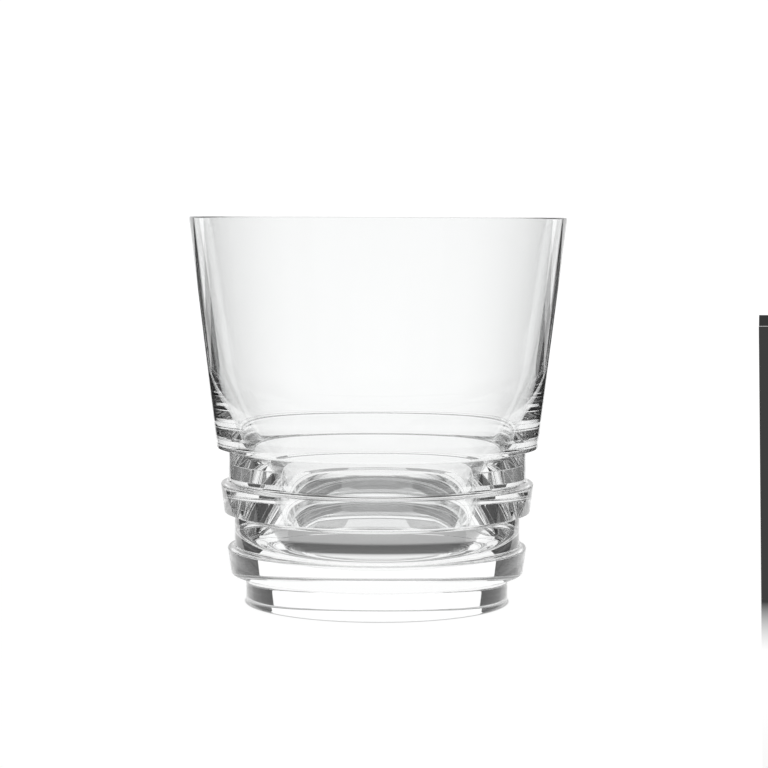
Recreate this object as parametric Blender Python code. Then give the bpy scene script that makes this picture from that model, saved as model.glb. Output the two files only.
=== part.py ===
"""A heavy-based whisky tumbler: one piece of pressed and polished clear glass.

A tapered bowl stands on a solid stem that is turned into two collars with necks between them,
over a narrower foot. The bowl's inside runs down into the stem. Everything is turned about +Z.
The origin is the middle of the underside, on the plane that the tumbler stands on. Units are
metres.
"""

import math

import bpy
from mathutils import Vector

# Overall sizes.
HEIGHT = 0.0972
RIM_DIAMETER = 0.0950

# The stem, from the standing plane upwards. The bowl takes the height that the stem leaves.
FOOT_HEIGHT = 0.00755
LOWER_COLLAR_HEIGHT = 0.00642
LOWER_NECK_HEIGHT = 0.00905
UPPER_COLLAR_HEIGHT = 0.00721
UPPER_NECK_HEIGHT = 0.00912

# The bowl's lower edge, and how far each part of the stem is set in from it, in radius.
BOWL_BOTTOM_DIAMETER = 0.0812
UPPER_NECK_INSET = 0.0030
UPPER_COLLAR_INSET = 0.0010
LOWER_NECK_INSET = 0.0045
LOWER_COLLAR_INSET = 0.0027
FOOT_INSET = 0.0074

# How much narrower in radius each collar is at its lower edge than at its upper edge.
COLLAR_DRAFT = 0.00092

# The inside, downwards: a thin straight wall, a long bend at the shoulder, a steep wall down to the
# heel, a flatter slope below it and a rounded corner into a shallow dished floor.
LIP_THICKNESS = 0.00105
SHOULDER_WALL_THICKNESS = 0.0024
SHOULDER_ABOVE_STEM = 0.00765
SHOULDER_BEND = 0.0930
HEEL_WALL_THICKNESS = 0.0083
HEEL_ABOVE_FLOOR = 0.0097
HEEL_BEND = 0.0020
HEEL_SLOPE = math.radians(35.4)
FLOOR_THICKNESS = 0.0114
FLOOR_CORNER_RADIUS = 0.0139
FLOOR_DISH_RADIUS = 0.0970

# The underside is hollowed a little, so that the tumbler stands on a flat ring.
STANDING_RING_WIDTH = 0.0042
UNDERSIDE_HOLLOW = 0.00058

# Edge rounding.
LIP_ROUND = 0.00035
COLLAR_EDGE_ROUND = 0.00033
LOWER_EDGE_ROUND = 0.00012
NECK_ROOT_ROUND = 0.00090
FOOT_EDGE_ROUND = 0.00020

# Facets: around the axis, the largest turn between two facets of an edge or a sweep, and the
# hollow's count from its edge to the axis. The slack keeps an exact division from gaining a facet.
SEGMENTS = 64
EDGE_TURN = math.radians(45)
SWEEP_TURN = math.radians(6)
HOLLOW_FACETS = 3
SLACK = 1e-6
MERGE_DISTANCE = 0.000001

GLASS_COLOUR = (0.955, 0.965, 0.962, 1.0)
GLASS_ROUGHNESS = 0.02
GLASS_IOR = 1.538


def clear_scene():
    for old in list(bpy.data.objects):
        bpy.data.objects.remove(old, do_unlink=True)


def glass_material():
    material = bpy.data.materials.new("clear_glass")
    material.use_nodes = True
    shader = material.node_tree.nodes["Principled BSDF"]
    shader.inputs["Base Color"].default_value = GLASS_COLOUR
    shader.inputs["Metallic"].default_value = 0.0
    shader.inputs["Roughness"].default_value = GLASS_ROUGHNESS
    shader.inputs["IOR"].default_value = GLASS_IOR
    shader.inputs["Transmission Weight"].default_value = 1.0
    return material


def arc(centre, radius, start, end, largest_turn):
    """Points on a circle in the (radius, height) plane, from one angle to another, ends included."""
    steps = max(1, math.ceil(abs(end - start) / largest_turn - SLACK))
    angles = [start + (end - start) * step / steps for step in range(steps + 1)]
    return [centre + radius * Vector((math.cos(a), math.sin(a))) for a in angles]


def rounded_corner(before, corner, after, radius, largest_turn):
    """The points that round one corner of an outline."""
    if radius == 0:
        return [corner]
    to_before = (before - corner).normalized()
    to_after = (after - corner).normalized()
    half_angle = to_before.angle(to_after) / 2
    centre = corner + (to_before + to_after).normalized() * radius / math.sin(half_angle)
    touch = radius / math.tan(half_angle)
    spoke_in = corner + to_before * touch - centre
    spoke_out = corner + to_after * touch - centre
    start = math.atan2(spoke_in.y, spoke_in.x)
    turn = math.atan2(spoke_in.cross(spoke_out), spoke_in.dot(spoke_out))
    return arc(centre, radius, start, start + turn, largest_turn)


def rounded_outline(corners, largest_turn):
    """An outline through (radius, height, rounding) corners. Its two ends are left as they are."""
    points = [Vector(corner[:2]) for corner in corners]
    outline = [points[0]]
    for before, corner, after, spec in zip(points, points[1:], points[2:], corners[1:]):
        outline += rounded_corner(before, corner, after, spec[2], largest_turn)
    return outline + [points[-1]]


def stem_levels():
    """Heights of the stem's steps above the standing plane, from the foot's top to the bowl."""
    foot_and_lower = (FOOT_HEIGHT, LOWER_COLLAR_HEIGHT, LOWER_NECK_HEIGHT)
    levels = []
    level = 0.0
    for step in foot_and_lower + (UPPER_COLLAR_HEIGHT, UPPER_NECK_HEIGHT):
        level += step
        levels.append(level)
    return levels


def stem_radius(inset):
    """The radius of a part of the stem that is set in from the bowl's lower edge."""
    return BOWL_BOTTOM_DIAMETER / 2 - inset


def collar_corners(inset, top, bottom):
    """A collar's two corners, downwards: crisp above, softer and a little narrower below."""
    radius = stem_radius(inset)
    return [(radius, top, COLLAR_EDGE_ROUND), (radius - COLLAR_DRAFT, bottom, LOWER_EDGE_ROUND)]


def neck_corners(inset, top, bottom):
    radius = stem_radius(inset)
    return [(radius, top, NECK_ROOT_ROUND), (radius, bottom, NECK_ROOT_ROUND)]


def outside_corners():
    """Corners from the lip's outer edge down the outside to the standing ring's inner edge."""
    foot_top, lower_collar_top, lower_neck_top, upper_collar_top, bowl_bottom = stem_levels()
    foot = stem_radius(FOOT_INSET)
    corners = [(RIM_DIAMETER / 2, HEIGHT, LIP_ROUND), (stem_radius(0.0), bowl_bottom, LOWER_EDGE_ROUND)]
    corners += neck_corners(UPPER_NECK_INSET, bowl_bottom, upper_collar_top)
    corners += collar_corners(UPPER_COLLAR_INSET, upper_collar_top, lower_neck_top)
    corners += neck_corners(LOWER_NECK_INSET, lower_neck_top, lower_collar_top)
    corners += collar_corners(LOWER_COLLAR_INSET, lower_collar_top, foot_top)
    corners += [(foot, foot_top, NECK_ROOT_ROUND), (foot, 0.0, FOOT_EDGE_ROUND)]
    corners.append((foot - STANDING_RING_WIDTH, 0.0, 0.0))
    return corners


def underside_hollow():
    """The shallow hollow under the foot, from the standing ring to the axis."""
    reach = stem_radius(FOOT_INSET) - STANDING_RING_WIDTH
    radius = (reach ** 2 + UNDERSIDE_HOLLOW ** 2) / (2 * UNDERSIDE_HOLLOW)
    centre = Vector((0.0, UNDERSIDE_HOLLOW - radius))
    edge = math.acos(reach / radius)
    return arc(centre, radius, edge, math.pi / 2, (math.pi / 2 - edge) / HOLLOW_FACETS)


def outside_radius(height):
    """The radius of the bowl's straight outer wall at a height, carried on below the bowl too."""
    bowl_bottom = stem_levels()[-1]
    share = (height - bowl_bottom) / (HEIGHT - bowl_bottom)
    bottom = BOWL_BOTTOM_DIAMETER / 2
    return bottom + share * (RIM_DIAMETER / 2 - bottom)


def floor_and_corner(heel):
    """The dished floor, from the axis outwards, and the corner that joins it to the heel's slope."""
    up_wall = Vector((math.sin(HEEL_SLOPE), math.cos(HEEL_SLOPE)))
    into_bowl = Vector((-up_wall.y, up_wall.x))
    dish_centre = Vector((0.0, FLOOR_THICKNESS + FLOOR_DISH_RADIUS))

    # The corner's centre is one corner radius inside the wall, and its circle touches the dish.
    base = heel + into_bowl * FLOOR_CORNER_RADIUS - dish_centre
    along = base.dot(up_wall)
    reach = FLOOR_DISH_RADIUS - FLOOR_CORNER_RADIUS
    slide = -along - math.sqrt(along ** 2 - base.length_squared + reach ** 2)
    corner_centre = dish_centre + base + up_wall * slide

    to_corner = corner_centre - dish_centre
    dish_end = math.atan2(to_corner.y, to_corner.x)
    wall_start = math.atan2(-into_bowl.y, -into_bowl.x)
    dish = arc(dish_centre, FLOOR_DISH_RADIUS, -math.pi / 2, dish_end, SWEEP_TURN)
    return dish + arc(corner_centre, FLOOR_CORNER_RADIUS, dish_end, wall_start, SWEEP_TURN)[1:]


def inside_of_bowl():
    """The inside, from the middle of the floor up to the start of the wall's straight upper part."""
    bowl_bottom = stem_levels()[-1]
    shoulder_height = bowl_bottom + SHOULDER_ABOVE_STEM
    heel_height = FLOOR_THICKNESS + HEEL_ABOVE_FLOOR
    shoulder = Vector((outside_radius(shoulder_height) - SHOULDER_WALL_THICKNESS, shoulder_height))
    heel = Vector((stem_radius(LOWER_NECK_INSET) - HEEL_WALL_THICKNESS, heel_height))
    lip = Vector((RIM_DIAMETER / 2 - LIP_THICKNESS, HEIGHT))
    lower = floor_and_corner(heel)
    bends = [(lower[-1].x, lower[-1].y, 0.0), (heel.x, heel.y, HEEL_BEND)]
    bends += [(shoulder.x, shoulder.y, SHOULDER_BEND), (lip.x, lip.y, 0.0)]
    return lower[:-1] + rounded_outline(bends, SWEEP_TURN)[:-1], lip


def turned_outline():
    """The whole half-section, up the inside, over the lip, down the outside and under the foot."""
    inside, lip = inside_of_bowl()
    wall_top = (inside[-1].x, inside[-1].y, 0.0)
    lip_corner = (lip.x, lip.y, LIP_ROUND)
    outside = rounded_outline([wall_top, lip_corner] + outside_corners(), EDGE_TURN)
    return inside + outside[1:] + underside_hollow()[1:]


def turned_body(name, outline, material):
    """A closed body turned from a half-section whose two ends lie on the axis."""
    last = len(outline) - 1
    points = [(0.0 if index in (0, last) else p.x, 0.0, p.y) for index, p in enumerate(outline)]
    mesh = bpy.data.meshes.new(name)
    mesh.from_pydata(points, [(index, index + 1) for index in range(last)], [])
    mesh.materials.append(material)
    body = bpy.data.objects.new(name, mesh)
    bpy.context.scene.collection.objects.link(body)

    turn = body.modifiers.new("turn", "SCREW")
    turn.axis = "Z"
    turn.angle = 2 * math.pi
    turn.steps = SEGMENTS
    turn.render_steps = SEGMENTS
    turn.use_merge_vertices = True
    turn.merge_threshold = MERGE_DISTANCE
    turn.use_smooth_shade = True
    return body


def main():
    clear_scene()
    turned_body("tumbler_glass", turned_outline(), glass_material())


main()
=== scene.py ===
"""The look of the turned glass tumbler, in a plain bright studio. Lengths are metres."""

import math

import bpy
from mathutils import Matrix, Vector


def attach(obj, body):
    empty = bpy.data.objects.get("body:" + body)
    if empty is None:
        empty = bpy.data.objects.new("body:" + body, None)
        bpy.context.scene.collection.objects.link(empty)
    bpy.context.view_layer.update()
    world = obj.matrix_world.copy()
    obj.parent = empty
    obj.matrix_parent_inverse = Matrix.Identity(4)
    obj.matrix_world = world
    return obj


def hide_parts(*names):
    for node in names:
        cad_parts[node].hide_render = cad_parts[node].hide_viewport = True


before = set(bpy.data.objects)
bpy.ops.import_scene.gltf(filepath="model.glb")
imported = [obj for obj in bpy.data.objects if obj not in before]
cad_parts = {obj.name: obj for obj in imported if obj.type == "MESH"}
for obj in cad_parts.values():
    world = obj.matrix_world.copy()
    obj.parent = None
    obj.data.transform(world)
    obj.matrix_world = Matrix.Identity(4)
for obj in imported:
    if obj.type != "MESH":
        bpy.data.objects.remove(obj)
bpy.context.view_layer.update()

MM = 0.001

# ---------------------------------------------------------------- sizes of the tumbler
RIM_RADIUS = 47.5 * MM
FOOT_HEIGHT = 7.55 * MM
LOWER_COLLAR_HEIGHT = 6.42 * MM
LOWER_NECK_HEIGHT = 9.05 * MM
UPPER_COLLAR_HEIGHT = 7.21 * MM
UPPER_NECK_HEIGHT = 9.12 * MM
BOWL_HEIGHT = 57.85 * MM

FOOT_RADIUS = 33.2 * MM
LOWER_COLLAR_RADIUS = 37.9 * MM
LOWER_NECK_RADIUS = 36.1 * MM
UPPER_COLLAR_RADIUS = 39.6 * MM
UPPER_NECK_RADIUS = 37.6 * MM
BOWL_BOTTOM_RADIUS = 40.6 * MM
COLLAR_DRAFT = 0.92 * MM

LIP_THICKNESS = 1.05 * MM
SHOULDER_HEIGHT = 47.0 * MM
SHOULDER_WALL_THICKNESS = 2.4 * MM
SHOULDER_BEND = 93.0 * MM
HEEL_HEIGHT = 21.1 * MM
HEEL_RADIUS = 27.8 * MM
HEEL_BEND = 2.0 * MM
HEEL_SLOPE = math.radians(35.4)
FLOOR_HEIGHT = 11.4 * MM
FLOOR_CORNER_RADIUS = 13.9 * MM
FLOOR_DISH_RADIUS = 97.0 * MM

STANDING_RING_WIDTH = 4.2 * MM
UNDERSIDE_HOLLOW = 0.58 * MM

LIP_ROUND = 0.35 * MM
COLLAR_EDGE_ROUND = 0.33 * MM
LOWER_EDGE_ROUND = 0.12 * MM
NECK_ROOT_ROUND = 0.90 * MM
FOOT_EDGE_ROUND = 0.20 * MM

SEGMENTS = 256
EDGE_TURN = math.radians(6)
SWEEP_TURN = math.radians(1)
LONGEST_STEP = 2.5 * MM
SMALLEST_SWEEP = 5.0 * MM
SLACK = 1e-6

# ---------------------------------------------------------------- the half-section


def arc(centre, radius, start, turn, largest_turn, sense):
    """(point, outward normal) pairs along an arc; sense is +1 where the glass is inside the arc."""
    steps = max(1, math.ceil(abs(turn) / largest_turn - SLACK))
    spokes = [start + turn * step / steps for step in range(steps + 1)]
    spokes = [Vector((math.cos(a), math.sin(a))) for a in spokes]
    return [(centre + radius * spoke, sense * spoke) for spoke in spokes]


def rounded(before, corner, after, radius):
    to_before = (before - corner).normalized()
    to_after = (after - corner).normalized()
    half_angle = to_before.angle(to_after) / 2
    centre = corner + (to_before + to_after).normalized() * radius / math.sin(half_angle)
    touch = radius / math.tan(half_angle)
    first = corner + to_before * touch - centre
    last = corner + to_after * touch - centre
    start = math.atan2(first.y, first.x)
    turn = math.atan2(first.cross(last), first.dot(last))
    largest = SWEEP_TURN if radius > SMALLEST_SWEEP else EDGE_TURN
    return arc(centre, radius, start, turn, largest, 1 if turn < 0 else -1)


def floor_and_corner(heel):
    """The dished floor, from the axis outwards, and the rounded corner that joins it to the wall."""
    up_wall = Vector((math.sin(HEEL_SLOPE), math.cos(HEEL_SLOPE)))
    into_bowl = Vector((-up_wall.y, up_wall.x))
    dish_centre = Vector((0.0, FLOOR_HEIGHT + FLOOR_DISH_RADIUS))
    base = heel + into_bowl * FLOOR_CORNER_RADIUS - dish_centre
    along = base.dot(up_wall)
    reach = FLOOR_DISH_RADIUS - FLOOR_CORNER_RADIUS
    slide = -along - math.sqrt(along ** 2 - base.length_squared + reach ** 2)
    corner_centre = dish_centre + base + up_wall * slide
    to_corner = corner_centre - dish_centre
    dish_end = math.atan2(to_corner.y, to_corner.x)
    wall_start = math.atan2(-into_bowl.y, -into_bowl.x)
    dish = arc(dish_centre, FLOOR_DISH_RADIUS, -math.pi / 2, dish_end + math.pi / 2, SWEEP_TURN / 2, -1)
    corner = arc(corner_centre, FLOOR_CORNER_RADIUS, dish_end, wall_start - dish_end, SWEEP_TURN, -1)
    return dish[:-1] + corner


def half_section():
    """From the middle of the bowl's floor, over the lip and down the outside, to the axis below."""
    levels = [0.0]
    for step in (FOOT_HEIGHT, LOWER_COLLAR_HEIGHT, LOWER_NECK_HEIGHT, UPPER_COLLAR_HEIGHT,
                 UPPER_NECK_HEIGHT, BOWL_HEIGHT):
        levels.append(levels[-1] + step)
    ground, foot_top, lower_collar_top, lower_neck_top, upper_collar_top, bowl_bottom, top = levels

    lip = RIM_RADIUS - LIP_THICKNESS
    share = (SHOULDER_HEIGHT - bowl_bottom) / BOWL_HEIGHT
    shoulder = BOWL_BOTTOM_RADIUS + share * (RIM_RADIUS - BOWL_BOTTOM_RADIUS) - SHOULDER_WALL_THICKNESS
    ring = FOOT_RADIUS - STANDING_RING_WIDTH
    outline = floor_and_corner(Vector((HEEL_RADIUS, HEEL_HEIGHT)))
    corners = [
        (outline[-1][0].x, outline[-1][0].y, 0.0),
        (HEEL_RADIUS, HEEL_HEIGHT, HEEL_BEND),
        (shoulder, SHOULDER_HEIGHT, SHOULDER_BEND),
        (lip, top, LIP_ROUND),
        (RIM_RADIUS, top, LIP_ROUND),
        (BOWL_BOTTOM_RADIUS, bowl_bottom, LOWER_EDGE_ROUND),
        (UPPER_NECK_RADIUS, bowl_bottom, NECK_ROOT_ROUND),
        (UPPER_NECK_RADIUS, upper_collar_top, NECK_ROOT_ROUND),
        (UPPER_COLLAR_RADIUS, upper_collar_top, COLLAR_EDGE_ROUND),
        (UPPER_COLLAR_RADIUS - COLLAR_DRAFT, lower_neck_top, LOWER_EDGE_ROUND),
        (LOWER_NECK_RADIUS, lower_neck_top, NECK_ROOT_ROUND),
        (LOWER_NECK_RADIUS, lower_collar_top, NECK_ROOT_ROUND),
        (LOWER_COLLAR_RADIUS, lower_collar_top, COLLAR_EDGE_ROUND),
        (LOWER_COLLAR_RADIUS - COLLAR_DRAFT, foot_top, LOWER_EDGE_ROUND),
        (FOOT_RADIUS, foot_top, NECK_ROOT_ROUND),
        (FOOT_RADIUS, ground, FOOT_EDGE_ROUND),
        (ring, ground, 0.0),
    ]
    points = [Vector(corner[:2]) for corner in corners]
    for before, corner, after, spec in zip(points, points[1:], points[2:], corners[1:]):
        outline += rounded(before, corner, after, spec[2])

    bend = (ring ** 2 + UNDERSIDE_HOLLOW ** 2) / (2 * UNDERSIDE_HOLLOW)
    edge = math.acos(ring / bend)
    hollow_centre = Vector((0.0, UNDERSIDE_HOLLOW - bend))
    outline += arc(hollow_centre, bend, edge, math.pi / 2 - edge, SWEEP_TURN / 2, -1)
    return outline


def with_short_steps(outline):
    """The same outline, with long straight stretches divided."""
    filled = [outline[0]]
    for (a, a_normal), (b, b_normal) in zip(outline, outline[1:]):
        parts = max(1, math.ceil((b - a).length / LONGEST_STEP))
        for part in range(1, parts + 1):
            share = part / parts
            normal = (a_normal.lerp(b_normal, share)).normalized()
            filled.append((a.lerp(b, share), normal))
    return filled


def turned(name, outline):
    """A closed mesh turned about Z, with the outline's own normals."""
    rings = outline[1:-1]
    turns = [2 * math.pi * step / SEGMENTS for step in range(SEGMENTS)]
    turns = [(math.cos(a), math.sin(a)) for a in turns]
    vertices = [(0.0, 0.0, outline[0][0].y)]
    normals = [(0.0, 0.0, 1.0)]
    for point, normal in rings:
        vertices += [(point.x * c, point.x * s, point.y) for c, s in turns]
        normals += [(normal.x * c, normal.x * s, normal.y) for c, s in turns]
    vertices.append((0.0, 0.0, outline[-1][0].y))
    normals.append((0.0, 0.0, -1.0))

    last = len(vertices) - 1
    faces = []
    for step in range(SEGMENTS):
        after = (step + 1) % SEGMENTS
        faces.append((0, 1 + step, 1 + after))
        for ring in range(len(rings) - 1):
            here = 1 + ring * SEGMENTS
            below = here + SEGMENTS
            faces.append((here + step, below + step, below + after, here + after))
        here = 1 + (len(rings) - 1) * SEGMENTS
        faces.append((here + step, last, here + after))
    mesh = bpy.data.meshes.new(name)
    mesh.from_pydata(vertices, [], faces)
    mesh.shade_smooth()
    mesh.normals_split_custom_set_from_vertices(normals)
    body = bpy.data.objects.new(name, mesh)
    bpy.context.scene.collection.objects.link(body)
    return body


# ---------------------------------------------------------------- materials
GLASS_IOR = 1.538
# The polish varies a little over the surface: the noise's size, its used range and the roughness.
SMEAR_SCALE = 35.0
SMEAR_DETAIL = 3.0
SMEAR_RANGE = (0.35, 0.75)
POLISH = (0.0, 0.012)
CLEAR_TINT = (0.992, 0.996, 0.995, 1.0)
DEEP_TINT = (0.986, 0.992, 0.991, 1.0)


def glass_material():
    material = bpy.data.materials.new("clear_glass_look")
    material.use_nodes = True
    nodes, links = material.node_tree.nodes, material.node_tree.links
    shader = nodes["Principled BSDF"]
    shader.inputs["IOR"].default_value = GLASS_IOR
    shader.inputs["Transmission Weight"].default_value = 1.0

    place = nodes.new("ShaderNodeTexCoord")
    smear = nodes.new("ShaderNodeTexNoise")
    smear.inputs["Scale"].default_value = SMEAR_SCALE
    smear.inputs["Detail"].default_value = SMEAR_DETAIL
    links.new(place.outputs["Object"], smear.inputs["Vector"])

    polish = nodes.new("ShaderNodeMapRange")
    polish.inputs["From Min"].default_value, polish.inputs["From Max"].default_value = SMEAR_RANGE
    polish.inputs["To Min"].default_value, polish.inputs["To Max"].default_value = POLISH
    links.new(smear.outputs["Fac"], polish.inputs["Value"])
    links.new(polish.outputs["Result"], shader.inputs["Roughness"])

    tint = nodes.new("ShaderNodeMix")
    tint.data_type = "RGBA"
    tint.inputs["A"].default_value = CLEAR_TINT
    tint.inputs["B"].default_value = DEEP_TINT
    links.new(smear.outputs["Fac"], tint.inputs["Factor"])
    links.new(tint.outputs["Result"], shader.inputs["Base Color"])
    return material


def light_material(name, radiance):
    material = bpy.data.materials.new(name)
    material.use_nodes = True
    tree = material.node_tree
    tree.nodes.clear()
    glow = tree.nodes.new("ShaderNodeEmission")
    glow.inputs["Strength"].default_value = radiance
    out = tree.nodes.new("ShaderNodeOutputMaterial")
    tree.links.new(glow.outputs[0], out.inputs["Surface"])
    return material


# ---------------------------------------------------------------- the tumbler
outline = with_short_steps(half_section())
tumbler = turned("tumbler", outline)
tumbler.data.materials.append(glass_material())
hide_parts("tumbler_glass")
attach(tumbler, "root")

# ---------------------------------------------------------------- the camera
FOCAL_PIXELS = 2300.0
FRAME_PIXELS = 768.0
SENSOR_WIDTH = 36.0
PITCH = math.radians(4.153)
YAW = math.radians(0.16)
ROLL = math.radians(0.22)
DISTANCE = 580.5 * MM
CAMERA_HEIGHT = 97.2 * MM

camera_data = bpy.data.cameras.new("camera")
camera_data.sensor_width = SENSOR_WIDTH
camera_data.lens = SENSOR_WIDTH * FOCAL_PIXELS / FRAME_PIXELS
camera = bpy.data.objects.new("camera", camera_data)
bpy.context.scene.collection.objects.link(camera)
camera.location = (0.0, -DISTANCE, CAMERA_HEIGHT)
camera.matrix_world = (
    Matrix.Translation(camera.location)
    @ Matrix.Rotation(-YAW, 4, "Z")
    @ Matrix.Rotation(math.pi / 2 - PITCH, 4, "X")
    @ Matrix.Rotation(ROLL, 4, "Z")
)
bpy.context.scene.camera = camera

# ---------------------------------------------------------------- the studio
# Everything in it turns with the camera. Behind the tumbler is +Y, so that each view is lit alike.
BACKDROP_DISTANCE = 1500.0 * MM
BACKDROP_HALF_WIDTH = 1259.0 * MM
BACKDROP_HEIGHT = 1350.0 * MM
STUDIO_HALF_WIDTH = 3000.0 * MM
STUDIO_HEIGHT = 2600.0 * MM
FLOOR_LEVEL = -0.05 * MM
TABLE_LEVEL = -0.3 * MM

# The white floor's edge as (distance behind the tumbler, half-width), and the white wings that start
# farther off on both sides of it, between two azimuths.
FLOOR_EDGE = ((-200.0 * MM, 65.0 * MM), (0.0 * MM, 98.0 * MM), (BACKDROP_DISTANCE, 345.0 * MM))
WING_START = 430.0 * MM
WING_AZIMUTHS = (math.radians(31), math.radians(50))
# The backdrop's lowest part beyond the white floor is dark, out to the wings.
LOW_BAND = 10.0 * MM
BAND_GAP = 1.0 * MM

# Strength of each part's own light.
WHITE = 1.07
NEAR_WHITE = 1.005
SIDE_GREY = 0.04
TABLE_GREY = 0.05
WALL_GREY = 0.12
REAR_GREY = 0.25
FRONT_GREY = 0.30
UPPER_GREY = 0.35
CEILING_GREY = 0.45
SOFTBOX = 0.80

# The distances over which the white floor rises from near white to white (painted shade: a little
# dimmer near the tumbler), and over which the table in front falls from near white to its grey (a
# painted pool of light in front of the tumbler).
RISE = (150.0 * MM, 400.0 * MM)
FRONT_FADE = (150.0 * MM, 700.0 * MM)
# How far round towards the front, as a sine, the painted light on the table beside the tumbler goes on
# getting lighter.
FRONT_TURN = 0.6
# Light that reaches the floor close to and under the foot, as (radius, share of the full light).
FLOOR_SHADE = (
    (0.0 * MM, 0.80), (9.0 * MM, 0.75), (13.0 * MM, 0.90), (16.5 * MM, 0.70), (19.0 * MM, 0.12),
    (28.0 * MM, 0.08), (31.0 * MM, 0.42), (33.2 * MM, 0.45), (33.7 * MM, 1.00),
)
SHADE_REACH = 40.0 * MM

SOFTBOX_HALF = 700.0 * MM
SOFTBOX_REAR = -1400.0 * MM
SOFTBOX_FRONT = -400.0 * MM
SOFTBOX_HEIGHT = 1600.0 * MM

studio = bpy.data.objects.new("studio", None)
bpy.context.scene.collection.objects.link(studio)


def sheet(name, corners, material):
    mesh = bpy.data.meshes.new(name)
    mesh.from_pydata([Vector(c) for c in corners], [], [tuple(range(len(corners)))])
    mesh.materials.append(material)
    panel = bpy.data.objects.new(name, mesh)
    bpy.context.scene.collection.objects.link(panel)
    panel.parent = studio
    return panel


def radial_glow(name, reach, levels):
    """A light material whose strength changes with the distance from the axis."""
    material = light_material(name, levels[0])
    nodes, links = material.node_tree.nodes, material.node_tree.links
    place = nodes.new("ShaderNodeTexCoord")
    radius = nodes.new("ShaderNodeVectorMath")
    radius.operation = "LENGTH"
    change = nodes.new("ShaderNodeMapRange")
    change.inputs["From Min"].default_value, change.inputs["From Max"].default_value = reach
    change.inputs["To Min"].default_value, change.inputs["To Max"].default_value = levels
    links.new(place.outputs["Object"], radius.inputs[0])
    links.new(radius.outputs["Value"], change.inputs["Value"])
    links.new(change.outputs["Result"], nodes["Emission"].inputs["Strength"])
    return material, radius


def floor_with_painted_shade():
    """White, with painted shade a little dimmer near the tumbler, and a painted soft shadow with
    lighter rings under the foot.
    """
    material, radius = radial_glow("studio_floor", RISE, (NEAR_WHITE, WHITE))
    nodes, links = material.node_tree.nodes, material.node_tree.links
    # Painted shadow and lighter rings on the floor under and just round the foot, by radius.
    share = nodes.new("ShaderNodeMapRange")
    share.inputs["From Max"].default_value = SHADE_REACH
    ramp = nodes.new("ShaderNodeValToRGB")
    links.new(radius.outputs["Value"], share.inputs["Value"])
    links.new(share.outputs["Result"], ramp.inputs["Fac"])
    links.new(ramp.outputs["Color"], nodes["Emission"].inputs["Color"])
    stops = ramp.color_ramp.elements
    while len(stops) < len(FLOOR_SHADE):
        stops.new(1.0)
    for stop, (reach, level) in zip(stops, FLOOR_SHADE):
        stop.position = reach / SHADE_REACH
        stop.color = (level, level, level, 1.0)
    return material


def front_with_painted_light():
    """The table in front, with a painted pool of light: dark straight beside the tumbler, light in
    front, fading with distance.
    """
    material, radius = radial_glow("studio_front", FRONT_FADE, (NEAR_WHITE, FRONT_GREY))
    nodes, links = material.node_tree.nodes, material.node_tree.links
    place = nodes.new("ShaderNodeTexCoord")
    split = nodes.new("ShaderNodeSeparateXYZ")
    sine = nodes.new("ShaderNodeMath")
    sine.operation = "DIVIDE"
    turn = nodes.new("ShaderNodeMapRange")
    turn.inputs["From Max"].default_value = -FRONT_TURN
    turn.inputs["To Min"].default_value = TABLE_GREY
    links.new(place.outputs["Object"], split.inputs["Vector"])
    links.new(split.outputs["Y"], sine.inputs[0])
    links.new(radius.outputs["Value"], sine.inputs[1])
    links.new(sine.outputs["Value"], turn.inputs["Value"])
    links.new(turn.outputs["Result"], nodes["Emission"].inputs["Color"])
    return material


def upright(name, x0, y0, x1, y1, bottom, top, material):
    sheet(name, [(x0, y0, bottom), (x1, y1, bottom), (x1, y1, top), (x0, y0, top)], material)


def level(name, x0, x1, y0, y1, height, material):
    sheet(name, [(x0, y0, height), (x1, y0, height), (x1, y1, height), (x0, y1, height)], material)


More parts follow.
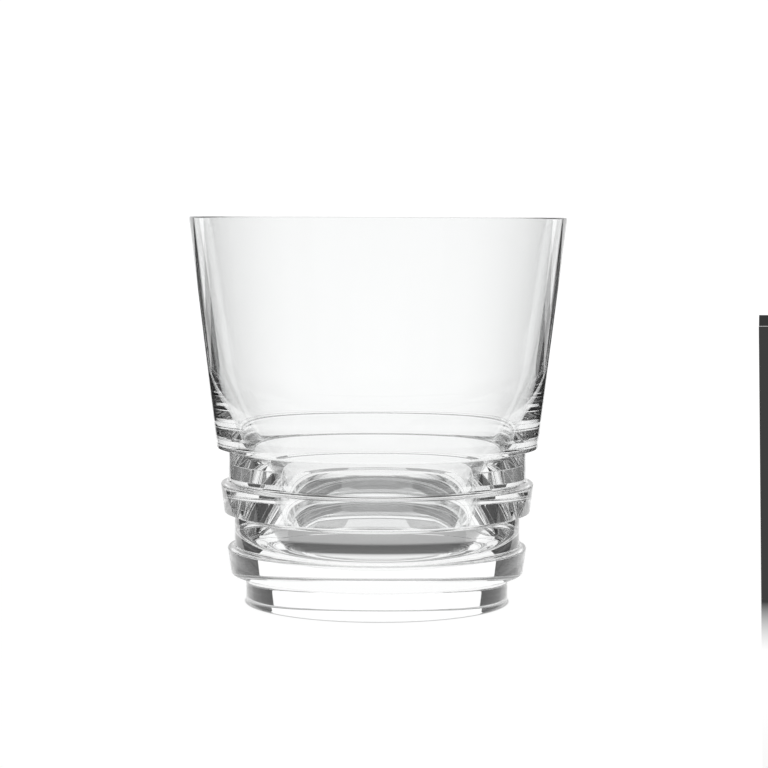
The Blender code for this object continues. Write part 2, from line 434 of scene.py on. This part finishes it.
def build_studio():
    white = light_material("studio_white", WHITE)
    side = light_material("studio_side", SIDE_GREY)
    wall = light_material("studio_wall", WALL_GREY)
    rear = light_material("studio_rear", REAR_GREY)
    upper = light_material("studio_upper", UPPER_GREY)
    far, half, wide, high = BACKDROP_DISTANCE, BACKDROP_HALF_WIDTH, STUDIO_HALF_WIDTH, STUDIO_HEIGHT
    floor = floor_with_painted_shade()
    for index, ((y0, x0), (y1, x1)) in enumerate(zip(FLOOR_EDGE, FLOOR_EDGE[1:])):
        strip = [(-x0, y0), (x0, y0), (x1, y1), (-x1, y1)]
        sheet("floor_%d" % index, [(x, y, FLOOR_LEVEL) for x, y in strip], floor)
    level("table", -wide, wide, 0.0, far, TABLE_LEVEL, light_material("studio_table", TABLE_GREY))
    inner, outer = (math.tan(azimuth) for azimuth in WING_AZIMUTHS)
    for sign in (-1, 1):
        wing = [(inner, WING_START), (outer, WING_START), (outer, far), (inner, far)]
        sheet("wing", [(sign * slope * y, y, FLOOR_LEVEL) for slope, y in wing], white)
    level("table_front", -wide, wide, -wide, 0.0, TABLE_LEVEL, front_with_painted_light())
    upright("backdrop", -half, far, half, far, TABLE_LEVEL, BACKDROP_HEIGHT, white)
    floor_end = FLOOR_EDGE[-1][1]
    wing_start = far * math.tan(WING_AZIMUTHS[0])
    front = far - BAND_GAP
    for sign in (-1, 1):
        upright("low_band", sign * floor_end, front, sign * wing_start, front, 0.0, LOW_BAND, side)
    upright("backdrop_top", -half, far, half, far, BACKDROP_HEIGHT, high, upper)
    for sign in (-1, 1):
        upright("side", sign * half, far, sign * wide, far, 0.0, high, side)
        upright("wall", sign * wide, far, sign * wide, -wide, 0.0, high, wall)
    upright("rear", -wide, -wide, wide, -wide, 0.0, high, rear)
    level("ceiling", -wide, wide, -wide, far, high, light_material("studio_ceiling", CEILING_GREY))
    softbox = light_material("studio_softbox", SOFTBOX)
    level("softbox", -SOFTBOX_HALF, SOFTBOX_HALF, SOFTBOX_REAR, SOFTBOX_FRONT, SOFTBOX_HEIGHT, softbox)


build_studio()
follow = studio.constraints.new("LOCKED_TRACK")
follow.target = camera
follow.track_axis = "TRACK_NEGATIVE_Y"
follow.lock_axis = "LOCK_Z"

LIGHT_BOUNCES = 32
scene = bpy.context.scene
scene.view_settings.view_transform = "Standard"
scene.cycles.max_bounces = LIGHT_BOUNCES
scene.cycles.transmission_bounces = LIGHT_BOUNCES
scene.cycles.glossy_bounces = LIGHT_BOUNCES
world = bpy.data.worlds.new("studio")
world.use_nodes = True
world.node_tree.nodes["Background"].inputs["Color"].default_value = (0.0, 0.0, 0.0, 1.0)
scene.world = world
